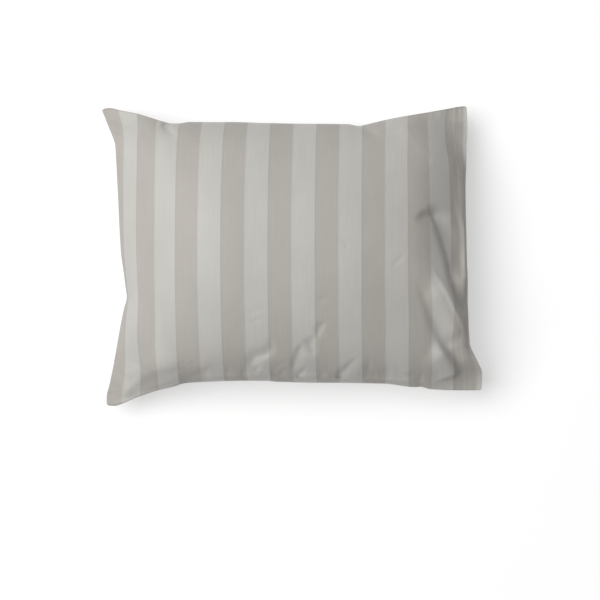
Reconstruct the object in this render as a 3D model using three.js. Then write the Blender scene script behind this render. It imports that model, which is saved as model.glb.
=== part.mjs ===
// A satin pillowcase with its pillow in it, lying on its back.
// The case is one length of striped satin, folded at its closed end, sewn along two sides and open
// at the fourth, the mouth. It is filled, so it is one closed solid: a crowned front, a back that is
// flat where it rests, sides that pull in between four flat ears, the loose folds that run down to
// the mouth's lower corner, and the pleats along the lower seam.
//
// Frame: millimetres, +Z up. The origin is under the middle of the case, on the surface it rests on.
// +X runs from the closed end to the mouth, along the 600 mm side, and +Y runs up the 500 mm side.

import * as THREE from 'three';

// Driving dimensions of the flat case.
const FLAT_WIDTH = 600;
const FLAT_HEIGHT = 500;

// Heights above the surface that the filled case rests on.
const SEAM_HEIGHT = 85;
const MOUTH_LIFT = 22;
const MOUTH_LIFT_START = 0.6;
const FRONT_RISE = 108;
const MOUTH_SIDE_RISE = 90;
const BACK_DROP = 150;
const LANDING_SOFTNESS = 12;

// The flat patch that the weight rests on, and how the back parts from the surface around it.
const PATCH_CORNERS = [[-175, -125], [160, -125], [160, 135], [-175, 135]];
const PATCH_MARGIN = 0.5;
const PATCH_STEP = 0.4;
const PATCH_LIFT = 0.025;

// How far in from each edge, seen from above, the front takes to reach its crown.
const LEFT_RUN = 190;
const MOUTH_RUN = 345;
const SEAM_SIDE_RUN = 201;
const ARC_STEPS = 120;

// Half of the thickness at the rim: two seam allowances, or two folded hems at the mouth.
const SEAM_HALF_THICKNESS = 1.2;
const MOUTH_HALF_THICKNESS = 2.4;
const HEM_START = 0.93;

// The line through the crown that the cloth is measured out from.
const CROWN_ALONG = 0.45;
const CROWN_X = -39.5;
const CROWN_Y = 5;
const STRIPE_BOW = 4;
const LEAST_RUN = 0.17;

// How far the outline's own bends reach into the panels.
const LEFT_REACH = 120;
const MOUTH_REACH = 140;
const SEAM_REACH = 110;

// Grid of each panel. Lines crowd towards the edges, and more so towards the folds by the mouth.
const COLUMNS = 62;
const ROWS = 42;
const CROWDING = {
  columns: { start: 0.7, end: 2.4, over: 0.22 },
  rows: { start: 2.2, end: 1.0, over: 0.14 },
};

// Each edge as the filled case shows it from above: where along the edge, and how far out it lies.
const LEFT_EDGE = [
  { y: -234, x: -290 }, { y: -222, x: -290 }, { y: -196, x: -284 }, { y: -158, x: -275 },
  { y: -121, x: -267 }, { y: -84, x: -259 }, { y: -66, x: -254.5 }, { y: -56, x: -256 },
  { y: -28, x: -260 }, { y: 0, x: -264 }, { y: 94, x: -269 }, { y: 149, x: -272 },
  { y: 159, x: -273 }, { y: 196, x: -286 }, { y: 231, x: -298 },
];
const MOUTH_EDGE = [
  { y: -209, x: 297 }, { y: -168, x: 296 }, { y: -158, x: 294 }, { y: -149, x: 290 },
  { y: -130, x: 281 }, { y: -121, x: 276.5 }, { y: -112, x: 274 }, { y: 0, x: 271.5 },
  { y: 94, x: 270 }, { y: 168, x: 271.5 }, { y: 205, x: 275 }, { y: 236, x: 275 },
];
const TOP_EDGE = [
  { x: -298, y: 231 }, { x: -286, y: 233 }, { x: -268, y: 229 }, { x: -240, y: 222 },
  { x: -203, y: 209.5 }, { x: -184, y: 205 }, { x: -175, y: 205 }, { x: -156, y: 207.5 },
  { x: -91, y: 207.5 }, { x: -53, y: 206.5 }, { x: 12, y: 205 }, { x: 87, y: 204 },
  { x: 105, y: 201 }, { x: 115, y: 203 }, { x: 152, y: 212 }, { x: 199, y: 221 },
  { x: 245, y: 231 }, { x: 264, y: 235 }, { x: 275, y: 236 },
];
const BOTTOM_EDGE = [
  { x: -290, y: -234 }, { x: -277, y: -234.5 }, { x: -268, y: -232 }, { x: -240, y: -220 },
  { x: -203, y: -207.5 }, { x: -184, y: -203 }, { x: -165, y: -197 }, { x: -156, y: -196 },
  { x: -44, y: -193 }, { x: -20, y: -195 }, { x: 143, y: -197.5 }, { x: 192, y: -203 },
  { x: 199, y: -202.5 }, { x: 217, y: -206.5 }, { x: 273, y: -209 }, { x: 297, y: -209 },
];

// The four ears: which corner, how far its tip hangs down, and how far in the droop starts.
const EARS = [
  { along: 0, up: 0, droop: 42, reach: 150 },
  { along: 1, up: 0, droop: 24, reach: 120 },
  { along: 0, up: 1, droop: 40, reach: 110 },
  { along: 1, up: 1, droop: 38, reach: 130 },
];
const EAR_FLATNESS = 0.55;
const EAR_RADIUS = 70;

// Folds of the front: a positive height is a ridge and a negative one a trough. Each runs through its
// points, and has a half width on the left and on the right of someone who walks along it. The
// shares of its length in which it swells and dies away come last.
const FOLDS = [
  { name: 'fullness towards the mouth', height: 7, half: [85, 85], ends: [0.45, 0.45],
    through: [[80, 210], [80, 0], [80, -230]] },
  { name: 'slack below the upper ear', height: -6, half: [20, 20], ends: [0.2, 0.4],
    through: [[280, 216], [272, 180], [258, 125]] },
  { name: 'slack slope', height: -16.5, half: [34, 40], ends: [0.4, 0.3],
    through: [[260, 200], [252, 145], [247, 80], [246, 0], [242, -75]] },
  { name: 'slack by the hem', height: -5, half: [14, 20], ends: [0.3, 0.3],
    through: [[268, 170], [264, 90], [262, 10]] },
  { name: 'dimple', height: -6, half: [10, 16], ends: [0.5, 0.5],
    through: [[184, 50], [198, 57], [214, 63], [232, 64]] },
  { name: 'hollow by the dimple', height: -3.5, half: [14, 13], ends: [0.5, 0.5],
    through: [[214, 84], [221, 60], [230, 34]] },
  { name: 'groove by the mouth', height: -12, half: [27, 9], ends: [0.3, 0.12],
    through: [[208, 80], [222, 46], [230, 26], [239.5, -4], [245, -32], [253, -64], [272, -96]] },
  { name: 'long swell', height: 8, half: [12, 24], ends: [0.5, 0.25],
    through: [[216, -22], [234, -52], [253, -92], [272, -136]] },
  { name: 'long trough', height: -7.5, half: [20, 12], ends: [0.5, 0.12],
    through: [[186, -32], [200, -62], [214, -90], [228, -119], [243, -141], [254, -160], [266, -190]] },
  { name: 'rise of the lower ear', height: 6.5, half: [18, 22], ends: [0.35, 0.4],
    through: [[272, -92], [284, -130], [294, -176]] },
  { name: 'swell beside the long trough', height: 7, half: [10, 20], ends: [0.4, 0.2],
    through: [[217, -128], [230, -152], [240, -169], [246, -192]] },
  { name: 'shoulder of the left ear', height: 8, half: [26, 14], ends: [0.25, 0.4],
    through: [[-268, -222], [-253, -204], [-236, -187], [-214, -176], [-184, -169], [-160, -168]] },
  { name: 'foot of the front, left', height: -3.5, half: [16, 8], ends: [0.3, 0.3],
    through: [[-150, -183], [-90, -178], [-30, -179]] },
  { name: 'foot of the front, middle', height: -3.5, half: [17, 8], ends: [0.3, 0.3],
    through: [[-24, -181], [30, -178], [84, -182]] },
  { name: 'left pleat', height: -3.5, half: [12, 11], ends: [0.8, 0.08],
    through: [[-112, -164], [-140, -181], [-170, -195]] },
  { name: 'hooked crease', height: -3.5, half: [10, 10], ends: [0.25, 0.25],
    through: [[-32, -118], [-31, -137], [-43, -151], [-57.5, -159], [-62, -178]] },
  { name: 'middle pleat', height: -4, half: [12, 10], ends: [0.3, 0.3],
    through: [[54, -100], [41, -118], [19, -132], [9, -152], [1, -178]] },
  { name: 'strong pleat', height: -5, half: [12, 10], ends: [0.9, 0.2],
    through: [[108, -153], [96, -160], [87, -170], [77, -184]] },
  { name: 'upright pleat', height: -2.5, half: [11, 10], ends: [0.8, 0.06],
    through: [[122, -148], [119, -165], [117, -189]] },
  { name: 'upper left pucker', height: -5.5, half: [11, 9], ends: [0.15, 0.6],
    through: [[-198, 207], [-190, 194], [-172, 176]] },
  { name: 'upper right pucker', height: -3.5, half: [10, 10], ends: [0.3, 0.5],
    through: [[108, 200], [120, 190], [142, 180]] },
  { name: 'foot of the front, top', height: -3.5, half: [9, 15], ends: [0.25, 0.25],
    through: [[-192, 200], [-110, 198], [-30, 198], [60, 197]] },
];
const FOLD_STEPS = 4;
const FOLD_EDGE_FADE = 10;
const POINTED_WIDTH = 0.5;

// Where the front is pushed down with less than this under it, it pushes the back down too.
const TOGETHER_UNDER = 75;

const clamp = (value, low, high) => Math.min(high, Math.max(low, value));
const smooth = (t) => t * t * (3 - 2 * t);
const shareFrom = (start, s) => clamp((s - start) / (1 - start), 0, 1);
const fadeIn = (distance, reach) => clamp(1 - distance / reach, 0, 1) ** 2;

// A value read off a table of points, sorted by its first number, with a straight run between two.
function between(points, at) {
  let i = 1;
  while (i < points.length - 1 && points[i][0] < at) i += 1;
  const [x0, y0] = points[i - 1];
  const [x1, y1] = points[i];
  return y0 + (y1 - y0) * clamp((at - x0) / (x1 - x0), 0, 1);
}

// A smooth curve through an edge's points that never swings past them: cubic spans whose slope at
// each point is the harmonic mean of its two neighbours' slopes, or level where the edge turns back.
function edgeCurve(rows, along, out) {
  const at = rows.map((row) => row[along]);
  const value = rows.map((row) => row[out]);
  const slope = at.slice(1).map((_, i) => (value[i + 1] - value[i]) / (at[i + 1] - at[i]));
  const tangent = at.map((_, i) => {
    if (i === 0) return slope[0];
    if (i === at.length - 1) return slope[i - 1];
    const [before, after] = [slope[i - 1], slope[i]];
    return before * after > 0 ? (2 * before * after) / (before + after) : 0;
  });
  return (q) => {
    let i = 0;
    while (i < at.length - 2 && at[i + 1] < q) i += 1;
    const span = at[i + 1] - at[i];
    const t = clamp((q - at[i]) / span, 0, 1);
    const rise = value[i] * (1 - smooth(t)) + value[i + 1] * smooth(t);
    const lean = tangent[i] * t * (1 - t) ** 2 - tangent[i + 1] * t * t * (1 - t);
    return rise + span * lean;
  };
}

// A quarter of an ellipse, from its steep edge to its level top, as pairs of the length walked
// along it and the share of the rise that is reached there.
function quarterArc(run, rise) {
  const pairs = [[0, 0]];
  let walked = 0;
  for (let i = 1; i <= ARC_STEPS; i += 1) {
    const [a, b] = [(i - 1) / ARC_STEPS, i / ARC_STEPS].map((t) => (t * Math.PI) / 2);
    const dx = run * (Math.cos(a) - Math.cos(b));
    const dz = rise * (Math.sin(b) - Math.sin(a));
    walked += Math.hypot(dx, dz);
    pairs.push([walked, Math.sin(b)]);
  }
  return pairs;
}

// How high the panel stands, as a share of its full rise, at a distance along the flat cloth:
// one quarter ellipse up from each end, stretched so that the two fill the cloth's length.
function riseProfile(total, first, last) {
  const up = quarterArc(first.run, first.rise);
  const down = quarterArc(last.run, last.rise);
  const upLength = up.at(-1)[0];
  const stretch = total / (upLength + down.at(-1)[0]);
  return (distance) =>
    distance <= upLength * stretch
      ? between(up, distance / stretch)
      : between(down, (total - distance) / stretch);
}

// Positions of the grid's lines from 0 to 1, closer together near both ends.
function gridLines(count, crowd) {
  const weightAt = (t) =>
    1 / (1 + crowd.start * Math.exp(-t / crowd.over) + crowd.end * Math.exp(-(1 - t) / crowd.over));
  const lines = [0];
  for (let i = 0; i < count; i += 1) lines.push(lines[i] + weightAt((i + 0.5) / count));
  return lines.map((line) => line / lines[count]);
}

const along = gridLines(COLUMNS, CROWDING.columns);
const up = gridLines(ROWS, CROWDING.rows);

const riseAlong = riseProfile(
  FLAT_WIDTH,
  { run: LEFT_RUN, rise: FRONT_RISE },
  { run: MOUTH_RUN, rise: MOUTH_SIDE_RISE },
);
const riseUp = riseProfile(
  FLAT_HEIGHT,
  { run: SEAM_SIDE_RUN, rise: FRONT_RISE },
  { run: SEAM_SIDE_RUN, rise: FRONT_RISE },
);

// How full the case is at a place on the flat cloth, from 0 at a seam to 1 at the crown.
function fullness(s, t) {
  let full = riseAlong(s * FLAT_WIDTH) * riseUp(t * FLAT_HEIGHT);
  for (const ear of EARS) {
    const away = Math.hypot((s - ear.along) * FLAT_WIDTH, (t - ear.up) * FLAT_HEIGHT);
    full *= 1 - EAR_FLATNESS * Math.exp(-((away / EAR_RADIUS) ** 2));
  }
  return full;
}

// The level between front and back: the seam's height, lifted at the mouth and drooping in the ears.
function seamLevel(s, t) {
  let level = SEAM_HEIGHT;
  level += MOUTH_LIFT * Math.sin(Math.PI * t) ** 2 * smooth(shareFrom(MOUTH_LIFT_START, s));
  for (const ear of EARS) {
    const away = Math.hypot((s - ear.along) * FLAT_WIDTH, (t - ear.up) * FLAT_HEIGHT);
    level -= ear.droop * smooth(clamp(1 - away / ear.reach, 0, 1));
  }
  return level;
}

const halfThickness = (s) =>
  SEAM_HALF_THICKNESS + (MOUTH_HALF_THICKNESS - SEAM_HALF_THICKNESS) * smooth(shareFrom(HEM_START, s));

const frontHeight = (s, t) => seamLevel(s, t) + FRONT_RISE * fullness(s, t) + halfThickness(s);

// The back sinks as deep as the front is full, and lands softly on the flat surface under it.
function backHeight(s, t) {
  const free = seamLevel(s, t) - BACK_DROP * fullness(s, t) - halfThickness(s);
  if (free < -LANDING_SOFTNESS) return 0;
  if (free > LANDING_SOFTNESS) return free;
  return (free + LANDING_SOFTNESS) ** 2 / (4 * LANDING_SOFTNESS);
}

// Distances seen from above, measured out from the crown: a step along the cloth, less what it climbs.
function planRuns(lines, length, heights, crown) {
  const walked = [0];
  for (let i = 1; i < lines.length; i += 1) {
    const step = (lines[i] - lines[i - 1]) * length;
    const climb = (heights[i] - heights[i - 1]) / step;
    walked.push(walked[i - 1] + step * Math.sqrt(clamp(1 - climb * climb, LEAST_RUN ** 2, 1)));
  }
  const atCrown = between(lines.map((line, i) => [line, walked[i]]), crown);
  return walked.map((distance) => distance - atCrown);
}

// A smooth line through a fold's points: between two of them it is a cubic whose slope at each is
// half the way between its neighbours.
function smoothLine(through) {
  const last = through.length - 1;
  const pointAt = (i) => {
    if (i < 0) return [0, 1].map((axis) => 2 * through[0][axis] - through[1][axis]);
    if (i > last) return [0, 1].map((axis) => 2 * through[last][axis] - through[last - 1][axis]);
    return through[i];
  };
  const line = [];
  for (let i = 0; i < last; i += 1) {
    const [before, here, next, after] = [-1, 0, 1, 2].map((step) => pointAt(i + step));
    for (let step = 0; step < FOLD_STEPS; step += 1) {
      const t = step / FOLD_STEPS;
      line.push([0, 1].map((axis) => {
        const leaving = ((next[axis] - before[axis]) / 2) * t * (1 - t) ** 2;
        const arriving = ((after[axis] - here[axis]) / 2) * t * t * (1 - t);
        return here[axis] + (next[axis] - here[axis]) * smooth(t) + leaving - arriving;
      }));
    }
  }
  return [...line, through[last]];
}

const foldLines = FOLDS.map((fold) => ({ ...fold, line: smoothLine(fold.through) }));

// A fold's height at a point seen from above: a bell across its line, with a half width for each
// side. Height and width both ease off at the ends, so a fold ends in a point.
function foldHeight({ line, height, half, ends }, x, y) {
  let nearest = Infinity;
  let where = 0;
  let side = 0;
  for (let i = 1; i < line.length; i += 1) {
    const [ax, ay] = line[i - 1];
    const [dx, dy] = [line[i][0] - ax, line[i][1] - ay];
    const share = clamp(((x - ax) * dx + (y - ay) * dy) / (dx * dx + dy * dy), 0, 1);
    const away = Math.hypot(x - ax - share * dx, y - ay - share * dy);
    if (away < nearest) {
      nearest = away;
      where = (i - 1 + share) / (line.length - 1);
      side = dx * (y - ay) > dy * (x - ax) ? 0 : 1;
    }
  }
  const ease = smooth(clamp(where / ends[0], 0, 1)) * smooth(clamp((1 - where) / ends[1], 0, 1));
  const width = half[side] * (POINTED_WIDTH + (1 - POINTED_WIDTH) * ease);
  return height * ease * Math.exp(-((nearest / width) ** 2));
}

// Lays the folds in the front. They fade out at the closed end and at the two seams, and run free
// to the mouth. Near the mouth the back gives way under them.
function layFolds(front, back) {
  along.forEach((s, i) =>
    up.forEach((t, j) => {
      const fromEdge = Math.min(s * FLAT_WIDTH, t * FLAT_HEIGHT, (1 - t) * FLAT_HEIGHT);
      const loose = 1 - fadeIn(fromEdge, FOLD_EDGE_FADE);
      const [x, y] = front[i][j];
      const folds = loose * foldLines.reduce((sum, fold) => sum + foldHeight(fold, x, y), 0);
      const together = smooth(clamp(1 - (front[i][j][2] - back[i][j][2]) / TOGETHER_UNDER, 0, 1));
      front[i][j][2] += folds;
      back[i][j][2] += Math.min(folds, 0) * together;
    }),
  );
}

// One panel as rows of points, column by column.
function panelPoints(heightAt) {
  const heights = along.map((s) => up.map((t) => heightAt(s, t)));
  const rowOf = (j) => heights.map((column) => column[j]);
  const runsAlong = up.map((_, j) => planRuns(along, FLAT_WIDTH, rowOf(j), CROWN_ALONG));
  const runsUp = along.map((_, i) => planRuns(up, FLAT_HEIGHT, heights[i], 0.5));
  const plainX = (i, j) => CROWN_X + runsAlong[j][i] + STRIPE_BOW * (2 * up[j] - 1) ** 2;
  const plainY = (i, j) => CROWN_Y + runsUp[i][j];

  const edges = {
    left: edgeCurve(LEFT_EDGE, 'y', 'x'),
    mouth: edgeCurve(MOUTH_EDGE, 'y', 'x'),
    top: edgeCurve(TOP_EDGE, 'x', 'y'),
    bottom: edgeCurve(BOTTOM_EDGE, 'x', 'y'),
  };
  const onEdge = (rows, i, j) => {
    const share = (plainY(i, j) - plainY(i, 0)) / (plainY(i, ROWS) - plainY(i, 0));
    return rows[0].y + (rows.at(-1).y - rows[0].y) * share;
  };
  const shiftLeft = up.map((_, j) => edges.left(onEdge(LEFT_EDGE, 0, j)) - plainX(0, j));
  const shiftMouth = up.map((_, j) => edges.mouth(onEdge(MOUTH_EDGE, COLUMNS, j)) - plainX(COLUMNS, j));
  const xAt = (i, j) =>
    plainX(i, j) +
    shiftLeft[j] * fadeIn(along[i] * FLAT_WIDTH, LEFT_REACH) +
    shiftMouth[j] * fadeIn((1 - along[i]) * FLAT_WIDTH, MOUTH_REACH);
  const shiftBottom = along.map((_, i) => edges.bottom(xAt(i, 0)) - plainY(i, 0));
  const shiftTop = along.map((_, i) => edges.top(xAt(i, ROWS)) - plainY(i, ROWS));
  const yAt = (i, j) =>
    plainY(i, j) +
    shiftBottom[i] * fadeIn(up[j] * FLAT_HEIGHT, SEAM_REACH) +
    shiftTop[i] * fadeIn((1 - up[j]) * FLAT_HEIGHT, SEAM_REACH);

  return along.map((_, i) => up.map((__, j) => [xAt(i, j), yAt(i, j), heights[i][j]]));
}

// The back carries the weight on a flat patch with four corners. Each corner is the grid point
// nearest to its place. Around the patch the back lifts off by a little for each millimetre.
function restOnPatch(back) {
  const points = back.flat();
  const corners = PATCH_CORNERS.map(([x, y]) => {
    const away = points.map((point) => Math.hypot(point[0] - x, point[1] - y));
    return points[away.indexOf(Math.min(...away))];
  });
  const inward = ([x, y]) => {
    const distances = corners.map(([ax, ay], i) => {
      const [bx, by] = corners[(i + 1) % corners.length];
      return ((bx - ax) * (y - ay) - (by - ay) * (x - ax)) / Math.hypot(bx - ax, by - ay);
    });
    return Math.min(...distances);
  };
  for (const point of points) {
    const inside = inward(point);
    const onPatch = corners.includes(point) || inside > PATCH_MARGIN;
    const lift = PATCH_STEP + PATCH_LIFT * Math.max(0, -inside);
    point[2] = onPatch ? 0 : Math.max(point[2], lift);
  }
}

// Front and back, joined by a narrow rim all the way round.
function filledCase() {
  const front = panelPoints(frontHeight);
  const back = panelPoints(backHeight);
  layFolds(front, back);
  restOnPatch(back);
  const points = [...front.flat(), ...back.flat()];
  const frontAt = (i, j) => i * (ROWS + 1) + j;
  const backAt = (i, j) => (COLUMNS + 1) * (ROWS + 1) + frontAt(i, j);
  const faces = [];
  const apart = (a, b) => Math.hypot(...points[a].map((value, axis) => value - points[b][axis]));

  // A four-cornered cell is cut along its shorter diagonal, so that a cell on a fold bends with it.
  const quad = (a, b, c, d) => {
    const cut = apart(a, c) <= apart(b, d) ? [a, b, c, a, c, d] : [a, b, d, b, c, d];
    faces.push(...cut);
  };

  for (let i = 0; i < COLUMNS; i += 1) {
    for (let j = 0; j < ROWS; j += 1) {
      quad(frontAt(i, j), frontAt(i + 1, j), frontAt(i + 1, j + 1), frontAt(i, j + 1));
      quad(backAt(i, j), backAt(i, j + 1), backAt(i + 1, j + 1), backAt(i + 1, j));
    }
  }
  for (let i = 0; i < COLUMNS; i += 1) {
    quad(backAt(i, 0), backAt(i + 1, 0), frontAt(i + 1, 0), frontAt(i, 0));
    quad(backAt(i + 1, ROWS), backAt(i, ROWS), frontAt(i, ROWS), frontAt(i + 1, ROWS));
  }
  for (let j = 0; j < ROWS; j += 1) {
    quad(backAt(0, j + 1), backAt(0, j), frontAt(0, j), frontAt(0, j + 1));
    quad(backAt(COLUMNS, j), backAt(COLUMNS, j + 1), frontAt(COLUMNS, j + 1), frontAt(COLUMNS, j));
  }

  const geometry = new THREE.BufferGeometry();
  geometry.setAttribute('position', new THREE.Float32BufferAttribute(points.flat(), 3));
  geometry.setIndex(faces);
  geometry.computeBoundingBox();
  const middle = geometry.boundingBox.getCenter(new THREE.Vector3());
  geometry.translate(-middle.x, -middle.y, 0);
  geometry.computeVertexNormals();
  return geometry;
}

const satin = new THREE.MeshStandardMaterial({ color: 0xbcb7ae, roughness: 0.45, metalness: 0 });

const pillowcase = new THREE.Mesh(filledCase(), satin);
pillowcase.name = 'pillowcase';

const group = new THREE.Group();
group.add(pillowcase);

export default group;
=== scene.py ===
# %% [markdown]
# # A satin pillowcase with its pillow in it
#
# The real thing is one length of striped satin, folded at its closed end, sewn along two sides and
# hemmed at its open end, the mouth. A pillow fills it, so it lies as a crowned cushion with four
# flat ears. This lesson dresses the imported solid of that cushion: it works the cloth out as a
# surface with numpy, lets Blender's Cloth settle it, lays the loose folds in, opens the mouth,
# and weaves a satin stripe that follows the cloth.

import bpy
import numpy as np
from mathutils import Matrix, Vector


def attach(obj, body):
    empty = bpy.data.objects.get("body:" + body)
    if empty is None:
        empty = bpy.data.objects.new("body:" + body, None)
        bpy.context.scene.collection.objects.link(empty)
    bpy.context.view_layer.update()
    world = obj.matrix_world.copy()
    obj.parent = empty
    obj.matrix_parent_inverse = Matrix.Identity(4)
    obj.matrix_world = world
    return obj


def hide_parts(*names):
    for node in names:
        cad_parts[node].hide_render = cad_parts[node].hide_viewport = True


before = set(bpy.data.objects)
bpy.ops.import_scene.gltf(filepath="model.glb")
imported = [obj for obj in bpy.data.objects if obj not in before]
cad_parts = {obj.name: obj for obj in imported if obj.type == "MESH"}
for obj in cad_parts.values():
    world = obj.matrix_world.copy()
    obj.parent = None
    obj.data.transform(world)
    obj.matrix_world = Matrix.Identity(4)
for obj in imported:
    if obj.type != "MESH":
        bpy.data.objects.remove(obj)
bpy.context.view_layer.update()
MM = 0.001

# %% [markdown]
# ## The camera
#
# A pillow like this is photographed from straight above, from far enough away that its edges
# hardly spread. The camera's height and its place come from two facts: the flat case is 600 mm
# wide, and the crown looks 3 percent larger than the seams do. Its lens is set by how many
# millimetres at the seams' height fill one pixel of a picture 600 pixels wide.

# %% The camera
PICTURE_SIDE_PX = 600
SENSOR_SIDE = 36.0
SEAM_HEIGHT = 85.0
CAMERA_HEIGHT = 3300.0
CAMERA_X = 14.1
CAMERA_Y = -68.95
MM_PER_PX_AT_SEAM = 1.55


def add_camera():
    """A camera that looks straight down. Its lens is the sensor's side over the width it takes in."""
    data = bpy.data.cameras.new("camera")
    view_width = PICTURE_SIDE_PX * MM_PER_PX_AT_SEAM
    data.sensor_width = SENSOR_SIDE
    data.lens = SENSOR_SIDE * (CAMERA_HEIGHT - SEAM_HEIGHT) / view_width
    camera = bpy.data.objects.new("camera", data)
    bpy.context.scene.collection.objects.link(camera)
    camera.location = (CAMERA_X * MM, CAMERA_Y * MM, CAMERA_HEIGHT * MM)
    bpy.context.scene.camera = camera
    return data


camera_data = add_camera()
print("lens in mm:", round(camera_data.lens, 1))

# %% [markdown]
# ## The cloth's own sizes
#
# Everything on the case is named by two lengths on the flat cloth: how far along from the closed
# end, and how far up from the lower seam. Stripes, seams and hem are straight lines there, and the
# filled shape is only where each point of the flat cloth has gone. These are the solid's sizes.

# %% Sizes of the flat case and of its filled shape, in mm
FLAT_WIDTH = 600.0
FLAT_HEIGHT = 500.0
MOUTH_LIFT = 22.0
MOUTH_LIFT_START = 0.6
FRONT_RISE = 108.0
MOUTH_SIDE_RISE = 90.0
BACK_DROP = 150.0
LANDING_SOFTNESS = 12.0
LEFT_RUN = 190.0
MOUTH_RUN = 345.0
SEAM_SIDE_RUN = 201.0
CROWN_ALONG = 0.45
CROWN_UP = 0.5
CROWN_X = -39.5
CROWN_Y = 5.0
STRIPE_BOW = 4.0
LEAST_RUN = 0.17
LEFT_REACH = 120.0
MOUTH_REACH = 140.0
SEAM_REACH = 110.0
EAR_FLATNESS = 0.55
EAR_RADIUS = 70.0

# Corner as (along, up), how far its tip hangs down, how far in the droop starts.
EARS = [
    ((0, 0), 42.0, 150.0),
    ((1, 0), 24.0, 120.0),
    ((0, 1), 40.0, 110.0),
    ((1, 1), 38.0, 130.0),
]


def smooth(t):
    """An ease from 0 to 1 that starts and ends level: 3 t squared less 2 t cubed."""
    t = np.clip(t, 0, 1)
    return t * t * (3 - 2 * t)


def fade_in(distance, reach):
    """1 at an edge, falling to 0 at the reach as a square does."""
    return np.clip(1 - distance / reach, 0, 1) ** 2


# %% [markdown]
# ## The outline
#
# Seen from above, a filled case isn't a rectangle. Its sides pull in between four ears, and where
# an ear's fold ends the outline has a small corner. Each edge is a short list of points joined by a
# curve that never swings past them, which keeps those corners crisp.

# %% The four edges, seen from above, in mm
LEFT_EDGE = np.array([
    (-234, -290), (-222, -290), (-196, -284), (-158, -275), (-121, -267), (-84, -259), (-66, -254.5),
    (-56, -256), (-28, -260), (0, -264), (94, -269), (149, -272), (159, -273), (196, -286), (231, -298),
])
MOUTH_EDGE = np.array([
    (-209, 297), (-168, 296), (-158, 294), (-149, 290), (-130, 281), (-121, 276.5), (-112, 274),
    (0, 271.5), (94, 270), (168, 271.5), (205, 275), (236, 275),
])
TOP_EDGE = np.array([
    (-298, 231), (-286, 233), (-268, 229), (-240, 222), (-203, 209.5), (-184, 205), (-175, 205),
    (-156, 207.5), (-91, 207.5), (-53, 206.5), (12, 205), (87, 204), (105, 201), (115, 203),
    (152, 212), (199, 221), (245, 231), (264, 235), (275, 236),
])
BOTTOM_EDGE = np.array([
    (-290, -234), (-277, -234.5), (-268, -232), (-240, -220), (-203, -207.5), (-184, -203),
    (-165, -197), (-156, -196), (-44, -193), (-20, -195), (143, -197.5), (192, -203), (199, -202.5),
    (217, -206.5), (273, -209), (297, -209),
])


def edge_curve(points, at):
    """Cubic spans through an edge's points. The slope at a point is the harmonic mean of its two
    neighbours' slopes, or level where the edge turns back."""
    place, out = points[:, 0], points[:, 1]
    span = np.diff(place)
    slope = np.diff(out) / span
    before, after = slope[:-1], slope[1:]
    same_way = before * after > 0
    mean = 2 * before * after / np.where(same_way, before + after, 1)
    tangent = np.concatenate([slope[:1], np.where(same_way, mean, 0), slope[-1:]])
    i = np.clip(np.searchsorted(place, at) - 1, 0, len(span) - 1)
    t = np.clip((at - place[i]) / span[i], 0, 1)
    rise = out[i] * (1 - smooth(t)) + out[i + 1] * smooth(t)
    lean = tangent[i] * t * (1 - t) ** 2 - tangent[i + 1] * t * t * (1 - t)
    return rise + span[i] * lean


# %% [markdown]
# ## The filled surface
#
# Along each middle line the front climbs from a seam as a quarter of an ellipse and comes down as
# another. Satin doesn't stretch, so a millimetre of cloth stays a millimetre: where the cloth
# climbs, it covers less of the plan, and the stripes look narrower. The code works that out with
# sums over the grid, outwards from the crown, and then draws the rim in to the outline.

# %% The rise of a panel, and the level of its seams
ARC_POINTS = 121


def quarter_arc(run, rise):
    """Length walked along a quarter ellipse from its steep end, and the share of the rise there."""
    turn = np.linspace(0, np.pi / 2, ARC_POINTS)
    steps = np.hypot(run * np.diff(np.cos(turn)), rise * np.diff(np.sin(turn)))
    return np.concatenate([[0], np.cumsum(steps)]), np.sin(turn)


def rise_profile(distance, total, first, last):
    """One quarter ellipse up from each end, stretched so that the two fill the cloth's length."""
    up_length, up_share = quarter_arc(*first)
    down_length, down_share = quarter_arc(*last)
    stretch = total / (up_length[-1] + down_length[-1])
    up = np.interp(distance / stretch, up_length, up_share)
    down = np.interp((total - distance) / stretch, down_length, down_share)
    return np.where(distance <= up_length[-1] * stretch, up, down)


def ear_distance(along, up, corner):
    """Distance on the flat cloth from a corner, in mm."""
    return np.hypot((along - corner[0]) * FLAT_WIDTH, (up - corner[1]) * FLAT_HEIGHT)


def fullness(along, up):
    """0 at a seam and 1 at the crown: the product of the two profiles, flattened in the ears."""
    ends = (LEFT_RUN, FRONT_RISE), (MOUTH_RUN, MOUTH_SIDE_RISE)
    sides = (SEAM_SIDE_RUN, FRONT_RISE), (SEAM_SIDE_RUN, FRONT_RISE)
    full = rise_profile(along * FLAT_WIDTH, FLAT_WIDTH, *ends)
    full = full * rise_profile(up * FLAT_HEIGHT, FLAT_HEIGHT, *sides)
    for corner, _, _ in EARS:
        in_ear = np.exp(-((ear_distance(along, up, corner) / EAR_RADIUS) ** 2))
        full = full * (1 - EAR_FLATNESS * in_ear)
    return full


def seam_level(along, up):
    """The seams' height, with a slow rise to the middle of the mouth and a droop in each ear."""
    toward_mouth = smooth((along - MOUTH_LIFT_START) / (1 - MOUTH_LIFT_START))
    level = SEAM_HEIGHT + MOUTH_LIFT * np.sin(np.pi * up) ** 2 * toward_mouth
    for corner, droop, reach in EARS:
        level = level - droop * smooth(1 - ear_distance(along, up, corner) / reach)
    return level


# %% [markdown]
# A turned seam isn't a knife edge. Its folded allowances make it about 2 mm thick and round, and at
# the mouth the two hems stand a little apart. Both come from one half thickness, which grows from
# nothing at the seam line. The pillow's weight presses the back flat where it lies on the floor.

# %% The rounded seam and the parted hems
SEAM_HALF_THICKNESS = 1.1
SEAM_ROUNDING = 1.8
MOUTH_PARTING = 6.5
PARTING_START = 0.88
PARTING_ROUNDING = 1.5


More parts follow.
